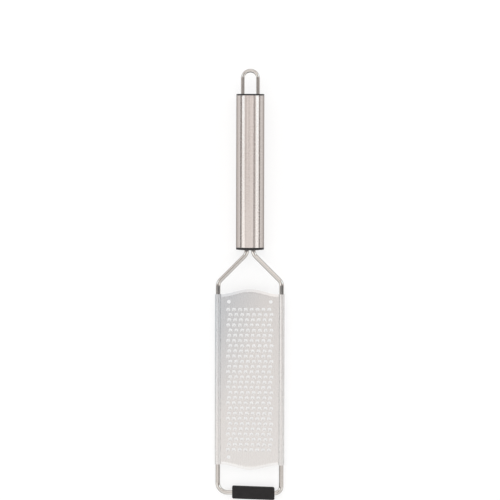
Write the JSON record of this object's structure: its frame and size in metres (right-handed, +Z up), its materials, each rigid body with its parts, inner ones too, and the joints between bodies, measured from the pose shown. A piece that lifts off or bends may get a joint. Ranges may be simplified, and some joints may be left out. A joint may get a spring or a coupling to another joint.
{
  "type": "hand grater",
  "caption": "Long hand grater: a pierced, toothed steel blade rolled onto a bent wire frame, with a tubular steel handle, a wire hanging loop and a black rubber foot at the tip.",
  "frame": {"origin": "on the table under the middle of the grater's bounding box, with the grater lying teeth up on its foot and on the rim of the front plug", "axes": "+Y along the grater towards the hanging loop, +Z up out of the toothed side, +X to the right as seen from above with the loop at the top; the handle's axis rises 1.91 degrees towards the loop"},
  "size_m": [0.055, 0.3382, 0.0261],
  "materials": {
    "brushed_tube": "stainless steel, brushed along the tube",
    "bright_wire": "bright drawn stainless steel wire",
    "satin_sheet": "pale satin stainless steel sheet",
    "black_plug": "black moulded plastic, satin",
    "foot_rubber": "black rubber, matt"
  },
  "bodies": {
    "root": {"handle_tube": "brushed_tube", "front_plug": "black_plug", "rear_plug": "black_plug", "hanging_loop": "bright_wire", "frame_wire": "bright_wire", "grater_blade": "satin_sheet", "rubber_foot": "foot_rubber"}
  },
  "joints": []
}
